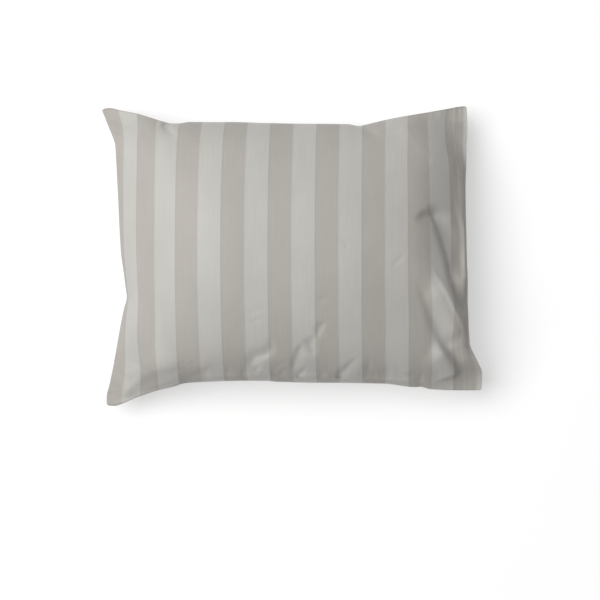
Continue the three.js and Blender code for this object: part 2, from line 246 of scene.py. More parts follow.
def half_thickness(along, up):
    """A quarter circle of the seam's half thickness by the seams, and a slow parting to the mouth."""
    from_seam = np.minimum(np.minimum(up, 1 - up) * FLAT_HEIGHT, along * FLAT_WIDTH)
    shy = 1 - np.clip(from_seam / SEAM_ROUNDING, 0, 1)
    rounded = SEAM_HALF_THICKNESS * np.sqrt(np.clip(1 - shy * shy, 0, 1))
    to_mouth = smooth((along - PARTING_START) / (1 - PARTING_START))
    return rounded + MOUTH_PARTING * to_mouth * np.sin(np.pi * up) ** PARTING_ROUNDING


def panel_heights(along, up, side):
    """The front stands on the seams' level. The back hangs from it and lands softly on the floor."""
    level = seam_level(along, up)
    if side == "front":
        return level + FRONT_RISE * fullness(along, up) + half_thickness(along, up)
    free = level - BACK_DROP * fullness(along, up) - half_thickness(along, up)
    return land_softly(free)


def land_softly(height):
    """Heights well above the floor stay, those below it become 0, and a parabola joins the two."""
    soft = LANDING_SOFTNESS
    joined = (height + soft) ** 2 / (4 * soft)
    return np.where(height < -soft, 0, np.where(height > soft, height, joined))


# %% [markdown]
# With the heights known, the plan follows. Each line of cloth is walked outwards from the crown, and
# each step covers what is left of it after its climb. The rim is then moved onto the outline, and
# that move fades out over the cloth beside it.

# %% Where each point of the flat cloth lies, seen from above


def plan_runs(heights, steps, axis, lines, crown):
    """Distances along an axis from the crown: each step of cloth, less what it climbs."""
    climb = np.diff(heights, axis=axis) / steps
    run = steps * np.sqrt(np.clip(1 - climb ** 2, LEAST_RUN ** 2, 1))
    first = np.zeros_like(np.take(heights, [0], axis=axis))
    walked = np.concatenate([first, np.cumsum(run, axis=axis)], axis=axis)
    i = int(np.clip(np.searchsorted(lines, crown), 1, len(lines) - 1))
    share = (crown - lines[i - 1]) / (lines[i] - lines[i - 1])
    low, high = np.take(walked, [i - 1], axis=axis), np.take(walked, [i], axis=axis)
    return walked - (low + (high - low) * share)


def on_edge(points, runs):
    """Runs along a rim, stretched to reach from the first to the last point of its edge."""
    share = (runs - runs[0]) / (runs[-1] - runs[0])
    return points[0, 0] + (points[-1, 0] - points[0, 0]) * share


def panel(along_lines, up_lines, side):
    """A panel's points in mm, as an array with one row for each line along and one column for each
    line up."""
    along, up = np.meshgrid(along_lines, up_lines, indexing="ij")
    z = panel_heights(along, up, side)
    steps_along = np.diff(along * FLAT_WIDTH, axis=0)
    steps_up = np.diff(up * FLAT_HEIGHT, axis=1)
    plain_x = CROWN_X + plan_runs(z, steps_along, 0, along_lines, CROWN_ALONG)
    plain_x = plain_x + STRIPE_BOW * (2 * up - 1) ** 2
    plain_y = CROWN_Y + plan_runs(z, steps_up, 1, up_lines, CROWN_UP)

    left_shift = edge_curve(LEFT_EDGE, on_edge(LEFT_EDGE, plain_y[0])) - plain_x[0]
    mouth_shift = edge_curve(MOUTH_EDGE, on_edge(MOUTH_EDGE, plain_y[-1])) - plain_x[-1]
    x = plain_x + left_shift * fade_in(along * FLAT_WIDTH, LEFT_REACH)
    x = x + mouth_shift * fade_in((1 - along) * FLAT_WIDTH, MOUTH_REACH)

    bottom_shift = (edge_curve(BOTTOM_EDGE, x[:, 0]) - plain_y[:, 0])[:, None]
    top_shift = (edge_curve(TOP_EDGE, x[:, -1]) - plain_y[:, -1])[:, None]
    y = plain_y + bottom_shift * fade_in(up * FLAT_HEIGHT, SEAM_REACH)
    y = y + top_shift * fade_in((1 - up) * FLAT_HEIGHT, SEAM_REACH)
    return np.stack([x, y, z], axis=-1)


# %% The ears' rounded tips
CORNER_RADIUS = 5.0


def round_corners(points, along, up):
    """Turned corners aren't sharp. Within a small square at each corner, rings that were square
    become round: a point keeps its largest distance from the square's inner corner as its
    straight one."""
    for end_x, toward_x in ((0, 1), (1, -1)):
        for end_y, toward_y in ((0, 1), (1, -1)):
            a = CORNER_RADIUS - np.abs(along - end_x) * FLAT_WIDTH
            b = CORNER_RADIUS - np.abs(up - end_y) * FLAT_HEIGHT
            a, b = np.maximum(a, 0), np.maximum(b, 0)
            shrink = 1 - np.maximum(a, b) / np.maximum(np.hypot(a, b), 1e-6)
            points[..., 0] += toward_x * a * shrink
            points[..., 1] += toward_y * b * shrink


sample = panel(np.linspace(0, 1, 61), np.linspace(0, 1, 51), "front")
print("crown of the front in mm:", round(sample[..., 2].max(), 1))

# %% [markdown]
# ## Settling the cloth
#
# The worked-out surface is even, and real cloth isn't: a flat panel can't wrap a crown without
# crumpling a little along its seams. Blender's Cloth finds that crumple. The two panels are one
# closed mesh whose rest shape is the flat pattern, the seam ring is pinned, and air pressure fills
# it for twenty frames without gravity. Only the difference it makes is kept, and no point may
# move further than a cap, so the outline and the stripes stay where they belong. Towards the mouth
# the cloth is slack and its folds are laid later, so the front's moves fade out there.

# %% Two grids that share their rim


def shared_ring(columns, rows):
    """Vertex numbers of a front and a back grid that share all four edges."""
    front = np.arange((columns + 1) * (rows + 1)).reshape(columns + 1, rows + 1)
    back = front.copy()
    inside = (columns - 1) * (rows - 1)
    back[1:-1, 1:-1] = front.size + np.arange(inside).reshape(columns - 1, rows - 1)
    return front, back


def grid_faces(index):
    """The four corners of each cell of a grid of vertex numbers, facing up for a rising grid."""
    corners = index[:-1, :-1], index[1:, :-1], index[1:, 1:], index[:-1, 1:]
    return np.stack(corners, axis=-1).reshape(-1, 4)


def place_points(count, *grids):
    """One array of points, filled from pairs of a grid of vertex numbers and its points."""
    points = np.zeros((count, 3))
    for index, grid in grids:
        points[index] = grid
    return points


# %% The settling run
SETTLE_COLUMNS = 110
SETTLE_ROWS = 92
SETTLE_FRAMES = 20
SETTLE_PRESSURE = 4.0
CLOTH_QUALITY = 6
CLOTH_MASS = 0.25
STRETCH_STIFFNESS = 30
SHEAR_STIFFNESS = 8
BENDING_STIFFNESS = 0.4


def settling_object(filled, pattern, faces, ring):
    """The filled case as an object, with the flat pattern as a shape key and the rim as a group."""
    mesh = bpy.data.meshes.new("settling")
    mesh.from_pydata((filled * MM).tolist(), [], faces.tolist())
    case = bpy.data.objects.new("settling", mesh)
    bpy.context.scene.collection.objects.link(case)
    case.shape_key_add(name="filled")
    rest = case.shape_key_add(name="pattern")
    rest.data.foreach_set("co", (pattern * MM).astype(np.float32).ravel())
    seams = case.vertex_groups.new(name="seams")
    seams.add(ring.tolist(), 1.0, "REPLACE")
    return case, rest


def add_cloth(case, rest):
    """Cloth that keeps the pattern's lengths, is pinned at the seams, and is filled with air."""
    cloth = case.modifiers.new("cloth", "CLOTH")
    cloth.point_cache.frame_end = SETTLE_FRAMES
    cloth.collision_settings.use_collision = False
    settings = cloth.settings
    settings.quality = CLOTH_QUALITY
    settings.mass = CLOTH_MASS
    settings.tension_stiffness = STRETCH_STIFFNESS
    settings.compression_stiffness = STRETCH_STIFFNESS
    settings.shear_stiffness = SHEAR_STIFFNESS
    settings.bending_stiffness = BENDING_STIFFNESS
    settings.vertex_group_mass = "seams"
    settings.rest_shape_key = rest
    settings.use_pressure = True
    settings.uniform_pressure_force = SETTLE_PRESSURE
    settings.effector_weights.gravity = 0


def run_cloth(case, count):
    """Steps through the frames, reads the settled points in mm, and goes back to the first one."""
    for number in range(1, SETTLE_FRAMES + 1):
        bpy.context.scene.frame_set(number)
    settled = case.evaluated_get(bpy.context.evaluated_depsgraph_get())
    points = np.empty(count * 3, np.float32)
    settled.data.vertices.foreach_get("co", points)
    bpy.context.scene.frame_set(1)
    return points.reshape(-1, 3) / MM


# %% The settling itself


def settle():
    """Runs the Cloth on the filled case and gives how far each point of the two panels moved."""
    along = np.linspace(0, 1, SETTLE_COLUMNS + 1)
    up = np.linspace(0, 1, SETTLE_ROWS + 1)
    front, back = panel(along, up, "front"), panel(along, up, "back")
    front_index, back_index = shared_ring(SETTLE_COLUMNS, SETTLE_ROWS)
    count = int(back_index.max()) + 1
    filled = place_points(count, (back_index, back), (front_index, front))
    flat_x, flat_y = np.meshgrid(along * FLAT_WIDTH, up * FLAT_HEIGHT, indexing="ij")
    flat = np.stack([flat_x, flat_y, np.zeros_like(flat_x)], axis=-1)
    pattern = place_points(count, (back_index, flat), (front_index, flat))
    faces = np.concatenate([grid_faces(front_index), grid_faces(back_index)[:, ::-1]])

    case, rest = settling_object(filled, pattern, faces, np.intersect1d(front_index, back_index))
    add_cloth(case, rest)
    points = run_cloth(case, count)
    bpy.data.objects.remove(case)
    return along, up, points[front_index] - front, points[back_index] - back


settled_moves = None
settled_moves = settle()
longest = [np.linalg.norm(m, axis=-1).max() for m in settled_moves[2:]]
print("longest moves in mm, front and back:", np.round(longest, 1))

# %% [markdown]
# ## A finer grid
#
# The settling grid has cells of about 5 mm. The finished piece needs finer ones where folds and
# puckers are, by the mouth and along the seams, and a few very close lines where a seam turns over.
# The settled moves are carried to the finer grid by smooth interpolation.

# %% The finer grid's lines, in mm from an edge
FINE_COLUMNS = 236
FINE_ROWS = 172
SEAM_LINES = np.array([0.0, 0.25, 0.8, 1.8, 3.4])
INNER_START = 5.2


def crowded(count, start, end, over):
    """Positions from 0 to 1 whose spacing shrinks near both ends."""
    t = (np.arange(count) + 0.5) / count
    spacing = 1 / (1 + start * np.exp(-t / over) + end * np.exp(-(1 - t) / over))
    lines = np.concatenate([[0], np.cumsum(spacing)])
    return lines / lines[-1]


def fine_lines(count, length, start, end, over):
    """Crowded lines between the seam lines of both ends, as shares of the length."""
    shares = crowded(count - 2 * len(SEAM_LINES), start, end, over)
    first, last = INNER_START, length - INNER_START
    inner = first + (last - first) * shares
    return np.concatenate([SEAM_LINES, inner, (length - SEAM_LINES)[::-1]]) / length


along_lines = fine_lines(FINE_COLUMNS, FLAT_WIDTH, start=0.3, end=2.6, over=0.22)
up_lines = fine_lines(FINE_ROWS, FLAT_HEIGHT, start=1.2, end=0.6, over=0.18)
print("grid lines:", len(along_lines), "by", len(up_lines))

# %% The settled moves on the finer grid
SETTLE_CAP = 5.0
SLACK_START = 0.62


def capped(move, cap):
    """A move kept in its direction, with its length eased so that it never passes the cap."""
    length = np.linalg.norm(move, axis=-1, keepdims=True)
    return move * cap * np.tanh(length / cap) / np.maximum(length, 1e-6)


def spline_rows(values, old, new):
    """Smooth interpolation down the first axis: a cubic through each four neighbouring rows."""
    place = np.interp(new, old, np.arange(len(old)))
    i = np.clip(place.astype(int), 0, len(old) - 2)
    t = (place - i).reshape((-1,) + (1,) * (values.ndim - 1))
    a, b = values[np.maximum(i - 1, 0)], values[i]
    c, d = values[i + 1], values[np.minimum(i + 2, len(old) - 1)]
    return b + 0.5 * t * (c - a + t * (2 * a - 5 * b + 4 * c - d + t * (3 * (b - c) + d - a)))


def finer(moves, along, up):
    """Moves on the settling grid, carried to the fine grid along both axes."""
    rows = spline_rows(moves, along, along_lines)
    return spline_rows(rows.swapaxes(0, 1), up, up_lines).swapaxes(0, 1)


along_grid, up_grid = np.meshgrid(along_lines, up_lines, indexing="ij")
front = panel(along_lines, up_lines, "front")
back = panel(along_lines, up_lines, "back")
round_corners(front, along_grid, up_grid)
round_corners(back, along_grid, up_grid)
if settled_moves is not None:
    old_along, old_up, front_moves, back_moves = settled_moves
    slack = smooth((old_along - SLACK_START) / (1 - SLACK_START))[:, None, None]
    front_moves = front_moves * (1 - slack)
    front = front + finer(capped(front_moves, SETTLE_CAP), old_along, old_up)
    back = back + finer(capped(back_moves, SETTLE_CAP), old_along, old_up)
    back[..., 2] = land_softly(back[..., 2])
print("highest point of the front in mm:", round(front[..., 2].max(), 1))

# %% [markdown]
# ## The loose folds
#
# The pillow is a little shorter than its case, so the cloth by the mouth is slack: it falls away
# steeply, and long folds run from the middle of the mouth down to the lower corner. Pleats stand
# along the lower seam, where a flat panel has to crowd together to go round the crown. Each fold is
# a bump or a trough along a smooth line through listed points. Across the line it is a bell curve
# with its own width on each side, because a real crease has one steep wall and one gentle one. Near
# the mouth and in the ears no pillow lies between the panels, so the back goes along with the front.

# %% The folds, seen from above, in mm
# name, height, half widths (left, right), share of its length to (swell, die away), points passed.
# Left and right are those of someone who walks along the fold from its first point.
FOLDS = [
    ("fullness towards the mouth", 7.0, (85, 85), (0.45, 0.45), [(80, 210), (80, 0), (80, -230)]),
    ("slack below the upper ear", -6.0, (20, 20), (0.2, 0.4),
     [(280, 216), (272, 180), (258, 125)]),
    ("slack slope", -16.5, (34, 38), (0.4, 0.3),
     [(260, 200), (252, 145), (247, 80), (246, 0), (242, -75)]),
    ("slack by the hem", -9.0, (14, 20), (0.3, 0.25),
     [(268, 190), (265, 90), (263, 0), (262, -40)]),
    ("dimple", -6.0, (7, 16), (0.5, 0.5), [(184, 50), (198, 57), (214, 63), (232, 64)]),
    ("hollow by the dimple", -3.5, (24, 13), (0.5, 0.5), [(214, 84), (221, 60), (230, 34)]),
    ("groove by the mouth", -13.0, (27, 6), (0.3, 0.12),
     [(208, 80), (214, 66), (222, 46), (230, 26), (239.5, -4), (245, -32), (249, -50), (253, -64),
      (260, -78), (272, -96)]),
    ("ridge by the mouth", 1.2, (9, 5), (0.3, 0.4),
     [(234, 36), (240, 16), (246, -4), (252, -30), (257, -50)]),
    ("groove inside the hem", -1.8, (6, 8), (0.3, 0.2),
     [(245, 100), (253, 62), (259, 42), (262, 17), (261, -38)]),
    ("lip of the hem", 0.8, (4, 4), (0.3, 0.2), [(268, 62), (269, 20), (267, -52)]),
    ("crease to the mouth's end", 1.4, (6, 5), (0.5, 0.15),
     [(203, -4), (214, -20), (229, -48), (241, -62), (252, -87), (266, -114), (273, -128)]),
    ("line under the crease", -1.0, (4, 6), (0.3, 0.1), [(214, -26), (236, -66), (266, -124)]),
    ("long swell", 9.0, (12, 26), (0.4, 0.25),
     [(214, -24), (234, -54), (257, -95), (281, -142)]),
    ("long trough", -6.0, (14, 11), (0.5, 0.3),
     [(186, -32), (200, -62), (214, -90), (228, -119), (243, -141), (254, -160), (266, -190)]),
    ("rise of the lower ear", 11.0, (24, 36), (0.35, 0.35),
     [(278, -104), (292, -142), (300, -186)]),
    ("swell beside the long trough", 10.0, (10, 20), (0.4, 0.15),
     [(219, -126), (232, -152), (244, -170), (254, -191)]),
    ("notch trough", -3.0, (9, 5), (0.4, 0.3), [(172, -180), (190, -187), (208, -195)]),
    ("foot of the front, left", -3.5, (16, 6), (0.3, 0.3), [(-150, -183), (-90, -178), (-30, -179)]),
    ("foot of the front, middle", -3.5, (17, 6), (0.3, 0.3), [(-24, -181), (30, -178), (84, -182)]),
    ("foot of the front, right", -3.0, (15, 6), (0.3, 0.3), [(90, -183), (140, -183), (190, -190)]),
    ("shoulder of the left ear", 8.5, (26, 13), (0.2, 0.4),
     [(-268, -222), (-253, -204), (-236, -187), (-214, -176), (-184, -169), (-160, -168)]),
    ("hooked crease", -3.4, (6.5, 9), (0.25, 0.25),
     [(-32, -118), (-31, -137), (-34, -146), (-43, -151), (-52, -153), (-57.5, -159),
      (-60.5, -167), (-62, -178)]),
    ("ridge in the hook", 0.9, (4, 5), (0.4, 0.25),
     [(-37, -147), (-41, -163), (-48, -179), (-51, -188)]),
    ("dent in the hook", -2.0, (4, 4), (0.4, 0.3), [(-50, -166), (-53, -178)]),
    ("pleat beside the hook", -2.0, (9, 7), (0.9, 0.06), [(0, -156), (-14, -166), (-31, -180)]),
    ("second pleat beside the hook", -2.0, (5, 4), (0.9, 0.06), [(-2, -168), (-12, -176), (-22, -187)]),
    ("top of the middle pleat", -2.5, (4, 6), (0.4, 0.4), [(54, -100), (43, -111), (40, -130)]),
    ("turn of the middle pleat", -2.0, (9, 4), (0.4, 0.4), [(39, -121), (29, -129), (14, -135)]),
    ("facet of the middle pleat", -2.5, (5, 6), (0.35, 0.35), [(24, -129), (31.5, -140), (36, -155)]),
    ("middle pleat", -3.0, (10, 4), (0.3, 0.3), [(18, -131), (9, -152), (1, -178)]),
    ("small middle pleat", -3.0, (5, 5), (0.9, 0.06), [(31, -166), (20, -175), (9, -187)]),
    ("strong pleat", -6.2, (10, 6), (0.9, 0.05),
     [(108, -153), (96, -160), (87, -170), (76, -181.5), (73, -190)]),
    ("small pleat under it", -1.2, (5, 3.5), (0.8, 0.1), [(104, -163), (96, -172), (92, -186)]),
    ("upright pleat", -1.4, (6, 4.5), (0.8, 0.06), [(122, -148), (119, -165), (117, -189)]),
    ("far right pleat", -1.5, (7, 5), (0.9, 0.06), [(152, -156), (148, -172), (147, -191)]),
    ("left pleat", -3.5, (11, 7), (0.8, 0.08), [(-112, -164), (-140, -181), (-170, -195)]),
    ("pucker left of the hook", -3.0, (5, 5), (0.9, 0.06), [(-66, -162), (-71, -176), (-73, -190)]),
    ("second left pucker", -2.0, (6, 5), (0.9, 0.06), [(-88, -160), (-97, -176), (-101, -191)]),
    ("third left pucker", -2.5, (5, 4), (0.9, 0.06), [(-124, -168), (-131, -180), (-132, -192)]),
    ("upper left pucker", -5.5, (8, 5), (0.15, 0.6), [(-198, 207), (-190, 194), (-172, 176)]),
    ("upper right pucker", -3.5, (9, 8), (0.3, 0.5), [(108, 200), (120, 190), (142, 180)]),
    ("foot of the front, top", -4.0, (6, 15), (0.25, 0.25),
     [(-192, 200), (-110, 198), (-30, 198), (60, 197)]),
    ("faint crease on the right", -0.7, (3, 3), (0.4, 0.4), [(146, -24), (162, -8), (178, 6)]),
    ("faint crease on the left", -1.2, (5, 4), (0.4, 0.4), [(-210, 24), (-216, -6), (-228, -34)]),
    ("faint crease in the middle", -0.8, (3, 3), (0.4, 0.4), [(36, -71), (48, -67), (60, -70)]),
    ("faint crease higher up", -0.7, (2.5, 2.5), (0.4, 0.4), [(75, 25), (83, 14), (89, 10)]),
    ("soft crease over the hook", -0.5, (6, 4), (0.4, 0.4), [(-69, -93), (-54, -85), (-35, -80)]),
    ("nick by the hem", -0.8, (2.5, 2.5), (0.4, 0.4), [(244, 139), (253, 136), (263, 131)]),
    ("second nick by the hem", -0.8, (2.5, 2.5), (0.4, 0.4), [(247, 132), (255, 129), (264, 123)]),
    ("second soft crease over the hook", -0.5, (5, 4), (0.4, 0.4), [(-68, -108), (-52, -99), (-35, -94)]),
]

# Short tucks that stand on the lower seam: where along it, and how deep.
TUCKS = [(-27, 1.8), (-14, 1.8), (46, 1.5), (62, 1.5), (126, 1.5), (137, 1.5)]
TUCK_TOP = -171
TUCK_FOOT = -191
TUCK_LEAN = 2
for foot_x, deep in TUCKS:
    tuck_line = [(foot_x + TUCK_LEAN, TUCK_TOP), (foot_x, TUCK_FOOT)]
    FOLDS.append(("tuck", -deep, (5, 4), (0.7, 0.08), tuck_line))

print("folds and tucks:", len(FOLDS))

# %% One fold as a height over the front
FOLD_STEPS = 6
POINTED_WIDTH = 0.35


def smooth_line(points):
    """A curve through the points: between two of them it is a cubic whose slope at each is half
    the way between its neighbours."""
    points = np.array(points, float)
    before = np.vstack([2 * points[0] - points[1], points[:-1]])
    after = np.vstack([points[1:], 2 * points[-1] - points[-2]])
    slope = (after - before) / 2
    t = np.linspace(0, 1, FOLD_STEPS, endpoint=False)[:, None]
    spans = []
    for i in range(len(points) - 1):
        lean = slope[i] * t * (1 - t) ** 2 - slope[i + 1] * t * t * (1 - t)
        spans.append(points[i] + (points[i + 1] - points[i]) * smooth(t) + lean)
    return np.vstack([*spans, points[-1:]])


def fold_height(x, y, height, halves, ends, points):
    """A bell of the distance from the nearest stretch of the line, with one half width to the left
    of the line and one to the right. Height and width both ease off at the ends, so a fold ends
    in a point."""
    line = smooth_line(points)
    count = len(line) - 1
    nearest = np.full(x.shape, np.inf)
    where = np.zeros(x.shape)
    left = np.zeros(x.shape, bool)
    for i in range(count):
        (ax, ay), (dx, dy) = line[i], line[i + 1] - line[i]
        share = np.clip(((x - ax) * dx + (y - ay) * dy) / (dx * dx + dy * dy), 0, 1)
        away = np.hypot(x - ax - share * dx, y - ay - share * dy)
        closer = away < nearest
        nearest = np.where(closer, away, nearest)
        where = np.where(closer, (i + share) / count, where)
        left = np.where(closer, dx * (y - ay) > dy * (x - ax), left)
    ease = smooth(where / ends[0]) * smooth((1 - where) / ends[1])
    half = np.where(left, halves[0], halves[1]) * (POINTED_WIDTH + (1 - POINTED_WIDTH) * ease)
    return height * np.exp(-((nearest / half) ** 2)) * ease


# %% The folds laid on both panels
FOLD_EDGE_FADE = 10.0
# Panels closer together than this move together, the more so the closer they are.
TOGETHER_UNDER = 75.0

# The cloth below the groove lies level, so its stripes reach a little further: how far, the middle
# of that place, how wide and high it is, and how far from the mouth it starts.
LEVEL_REACH = 3.6
LEVEL_MIDDLE = (226.0, -112.0)
LEVEL_SIZE = (60.0, 62.0)
LEVEL_FROM_MOUTH = 40.0
level_x = (front[..., 0] - LEVEL_MIDDLE[0]) / LEVEL_SIZE[0]
level_y = (front[..., 1] - LEVEL_MIDDLE[1]) / LEVEL_SIZE[1]
level_place = np.exp(-(level_x ** 2) - level_y ** 2)
level_place = level_place * smooth((1 - along_grid) * FLAT_WIDTH / LEVEL_FROM_MOUTH)
front[..., 0] += LEVEL_REACH * level_place

from_end = np.minimum(along_grid, 1 - along_grid) * FLAT_WIDTH
from_seam = np.minimum(up_grid, 1 - up_grid) * FLAT_HEIGHT
loose = 1 - fade_in(np.minimum(along_grid * FLAT_WIDTH, from_seam), FOLD_EDGE_FADE)
folds = sum(fold_height(front[..., 0], front[..., 1], *fold[1:]) for fold in FOLDS)
together = smooth(1 - (front[..., 2] - back[..., 2]) / TOGETHER_UNDER)
front[..., 2] += loose * folds
back[..., 2] += loose * folds * together
print("folds reach from", round(folds.min(), 1), "to", round(folds.max(), 1), "mm")

# %% [markdown]
# ## Puckers, the hem's step, and room for both panels
#
# Sewing thread is a little shorter than the cloth it holds, so a seam draws the cloth beside it
# into small uneven puckers. The hem at the mouth is cloth on cloth, and stands proud by its own
# thickness. Last, the back gives way wherever the front would touch it, so that the two panels
# never pass through each other.

# %% Puckers and hem
PUCKER_HEIGHT = 0.3
PUCKER_REACH = 9.0
# Length of each wave along a seam in mm, and where it starts as a share of a turn.
PUCKER_WAVES = [(23.0, 0.1), (14.3, 0.45), (9.7, 0.8), (31.0, 0.3)]
HEM_WIDTH = 25.0
HEM_STEP = 0.5
HEM_STEP_OVER = 1.6
# How far along the upper seam's puckers are shifted, so that they differ from the lower one's.
PUCKER_SHIFT = 7


def puckers(place, from_seam):
    """A sum of sine waves along the seam that dies away from it as an exponential."""
    waves = sum(np.sin(2 * np.pi * (place / length + start)) for length, start in PUCKER_WAVES)
    return PUCKER_HEIGHT * waves * np.exp(-from_seam / PUCKER_REACH)


along_mm, up_mm = along_grid * FLAT_WIDTH, up_grid * FLAT_HEIGHT
for side_of_case, panel_points in ((1, front), (-1, back)):
    raised = puckers(along_mm, up_mm) + puckers(along_mm + PUCKER_SHIFT, FLAT_HEIGHT - up_mm)
    raised = raised + puckers(up_mm, along_mm)
    raised = loose * raised
    raised += HEM_STEP * smooth((along_mm - FLAT_WIDTH + HEM_WIDTH) / HEM_STEP_OVER)
    panel_points[..., 2] += side_of_case * raised

# %% Room for both panels
PANEL_GAP = 1.6
apart = PANEL_GAP * smooth(np.minimum(from_end, from_seam) / FOLD_EDGE_FADE)
pressed = np.minimum(back[..., 2], front[..., 2] - apart)
print("the back gives way by up to", round((back[..., 2] - pressed)[1:-1, 1:-1].max(), 1), "mm")
back[1:-1, 1:-1, 2] = np.maximum(pressed, 0)[1:-1, 1:-1]

# %% [markdown]
# ## One closed mesh, with a mouth
#
# The two panels share their vertices along the closed end and the two seams. At the mouth they
# stay apart, and a strip of rows turns over each hem, runs a little way in and meets in the
# middle, so from the side there is a real dark opening with two thick edges. Each face keeps the
# flat cloth's own coordinates as its UV map, in metres, so that the weave follows the cloth.

# %% The mouth's turned hems
HEM_THICKNESS = 2.4
MOUTH_DEPTH = 24.0
MOUTH_END_REACH = 45.0
# How far in the cloth's direction at the hem is measured, in hem thicknesses.
HEM_LEAN_OVER = 4

# How far out past the edge, and how far under it, as shares of the hem's thickness.
HEM_TURN = [(0.36, 0.14), (0.5, 0.5), (0.36, 0.86), (0.0, 1.0)]
# How deep inside, as shares of the mouth's depth.
INSIDE_STEPS = [0.25, 0.5, 0.75, 1.0]


def unit(vectors):
    """Vectors of length 1."""
    return vectors / np.maximum(np.linalg.norm(vectors, axis=-1, keepdims=True), 1e-9)


def at_depth(points, depth):
    """A panel's points so many mm in from the mouth, along the cloth. Depth has a value a row."""
    along = 1 - depth / FLAT_WIDTH
    i = np.clip(np.searchsorted(along_lines, along) - 1, 0, len(along_lines) - 2)
    share = (along - along_lines[i]) / (along_lines[i + 1] - along_lines[i])
    rows = np.arange(len(up_lines))
    return points[i, rows] + (points[i + 1, rows] - points[i, rows]) * share[:, None]


def lip_rows(points, outward):
    """Rows that turn over a panel's hem, and then run inside along the panel's own inner face.
    Outward points away from the other panel."""
    room = smooth(np.minimum(up_lines, 1 - up_lines) * FLAT_HEIGHT / MOUTH_END_REACH)
    behind = at_depth(points, HEM_LEAN_OVER * HEM_THICKNESS * np.ones(len(room)))
    inward = unit(behind - points[-1])
    thick = HEM_THICKNESS * room[:, None]
    turned = [points[-1] - thick * (out * inward + under * outward) for out, under in HEM_TURN]
    inside = [at_depth(points, MOUTH_DEPTH * step * room) - thick * outward for step in INSIDE_STEPS]
    return turned + inside


def mouth_rows():
    """All rows between the front's edge and the back's, with one row down the middle."""
    upward = unit(front[-1] - back[-1] + np.array([0, 0, 1e-3]))
    top_lip, under_lip = lip_rows(front, upward), lip_rows(back, -upward)
    middle = (top_lip[-1] + under_lip[-1]) / 2
    return top_lip + [middle] + under_lip[::-1]


mouth = np.stack(mouth_rows())
print("rows in the mouth:", len(mouth))

# %% The case as one mesh
# The middle of the outline's box in the edges' own measures. The solid has it at the origin.
OUTLINE_MIDDLE = np.array([-0.5, 0.75, 0.0])


def grid_corners(values):
    """The values at the four corners of each cell, in the order that grid_faces uses."""
    corners = values[:-1, :-1], values[1:, :-1], values[1:, 1:], values[:-1, 1:]
    return np.stack(corners, axis=2).reshape(-1, 4, values.shape[-1])


def case_mesh():
    """Numbers the vertices so that seams are shared, and joins front, mouth and back."""
    columns, rows = len(along_lines), len(up_lines)
    front_index = np.arange(columns * rows).reshape(columns, rows)
    count = front_index.size
    back_index = front_index.copy()
    back_index[1:, 1:-1] = count + np.arange((columns - 1) * (rows - 2)).reshape(columns - 1, rows - 2)
    count += (columns - 1) * (rows - 2)
    mouth_index = np.tile(front_index[-1], (len(mouth), 1))
    mouth_index[:, 1:-1] = count + np.arange(len(mouth) * (rows - 2)).reshape(len(mouth), rows - 2)
    count += len(mouth) * (rows - 2)
    strip_index = np.vstack([front_index[-1], mouth_index, back_index[-1]])

    points = place_points(count, (back_index, back), (mouth_index, mouth), (front_index, front))
    panels = [grid_faces(front_index), grid_faces(back_index)[:, ::-1]]
    strip = grid_faces(strip_index)
    faces = np.concatenate([*panels, strip])

    along_m, up_m = along_grid * FLAT_WIDTH * MM, up_grid * FLAT_HEIGHT * MM
    front_uv = np.stack([along_m, up_m], axis=-1)
    back_uv = np.stack([-along_m, up_m], axis=-1)
    strip_uv = np.tile(front_uv[-1], (len(strip_index), 1, 1))
    corner_uv = [grid_corners(front_uv), grid_corners(back_uv)[:, ::-1], grid_corners(strip_uv)]
    return points - OUTLINE_MIDDLE, faces, np.concatenate(corner_uv)


# %% The case in the scene


def add_case():
    """Builds the mesh. A cell at the mouth's ends has two equal corners, and becomes a triangle."""
    points, faces, corner_uv = case_mesh()
    sides = np.roll(faces, -1, axis=1) != faces
    polygons = [f[s].tolist() for f, s in zip(faces, sides)]
    mesh = bpy.data.meshes.new("satin_case")
    mesh.from_pydata((points * MM).tolist(), [], polygons)
    layer = mesh.uv_layers.new(name="flat_cloth")
    layer.data.foreach_set("uv", corner_uv[sides].astype(np.float32).ravel())
    mesh.polygons.foreach_set("use_smooth", np.ones(len(polygons), bool))
    mesh.update()
    case = bpy.data.objects.new("satin_case", mesh)
    bpy.context.scene.collection.objects.link(case)
    return case


case = add_case()
print("faces:", len(case.data.polygons))

# %% [markdown]
# ## The satin
#
# Tone-on-tone satin stripes are one colour of yarn in two weaves. Where the warp lies on top the
# cloth is smooth and bright, and where the weft does it is duller and a little warmer. So the
# stripe isn't paint: it changes colour, gloss and the fine grain together. All of it is driven by
# the flat cloth's coordinates.

# %% The satin's colours, and the sizes of its pattern in mm
STRIPE = 35.4
FIRST_STRIPE = 26.5
BRIGHT_SATIN = (0.434, 0.424, 0.399)
DULL_SATIN = (0.368, 0.348, 0.321)
STREAK_WIDTH = 1.3
STREAK_LENGTH = 90.0
STREAK_SHARE = 0.07
CLOUD = 45.0
CLOUD_LENGTH = 72.0
CLOUD_SHARE = 0.06
FLOAT_WIDTH = 0.45
FLOAT_LENGTH = 3.2
FLOAT_DEPTH = 0.10
RIPPLE = 22.0
RIPPLE_LENGTH = 33.0
RIPPLE_DEPTH = 0.45
FINE_DETAIL = 2.0
CLOUDY_DETAIL = 3.0
BORDER_LINE = 1.4
BORDER_PLACE = 1.12
PIN_STRIPE = 3.1
PIN_STRIPES_OVER = 8.0
PIN_STRIPE_SHARE = 0.028
STITCH_LINE = 0.45
SEAM_INSET = 2.2
SEAM_LINE = 1.3
STITCH_LENGTH = 3.0
STITCH_SHARE = 0.75
STITCH_HEIGHT = 0.35
STITCH_FROM_HEM = 2
SUNK_LINE = 0.25
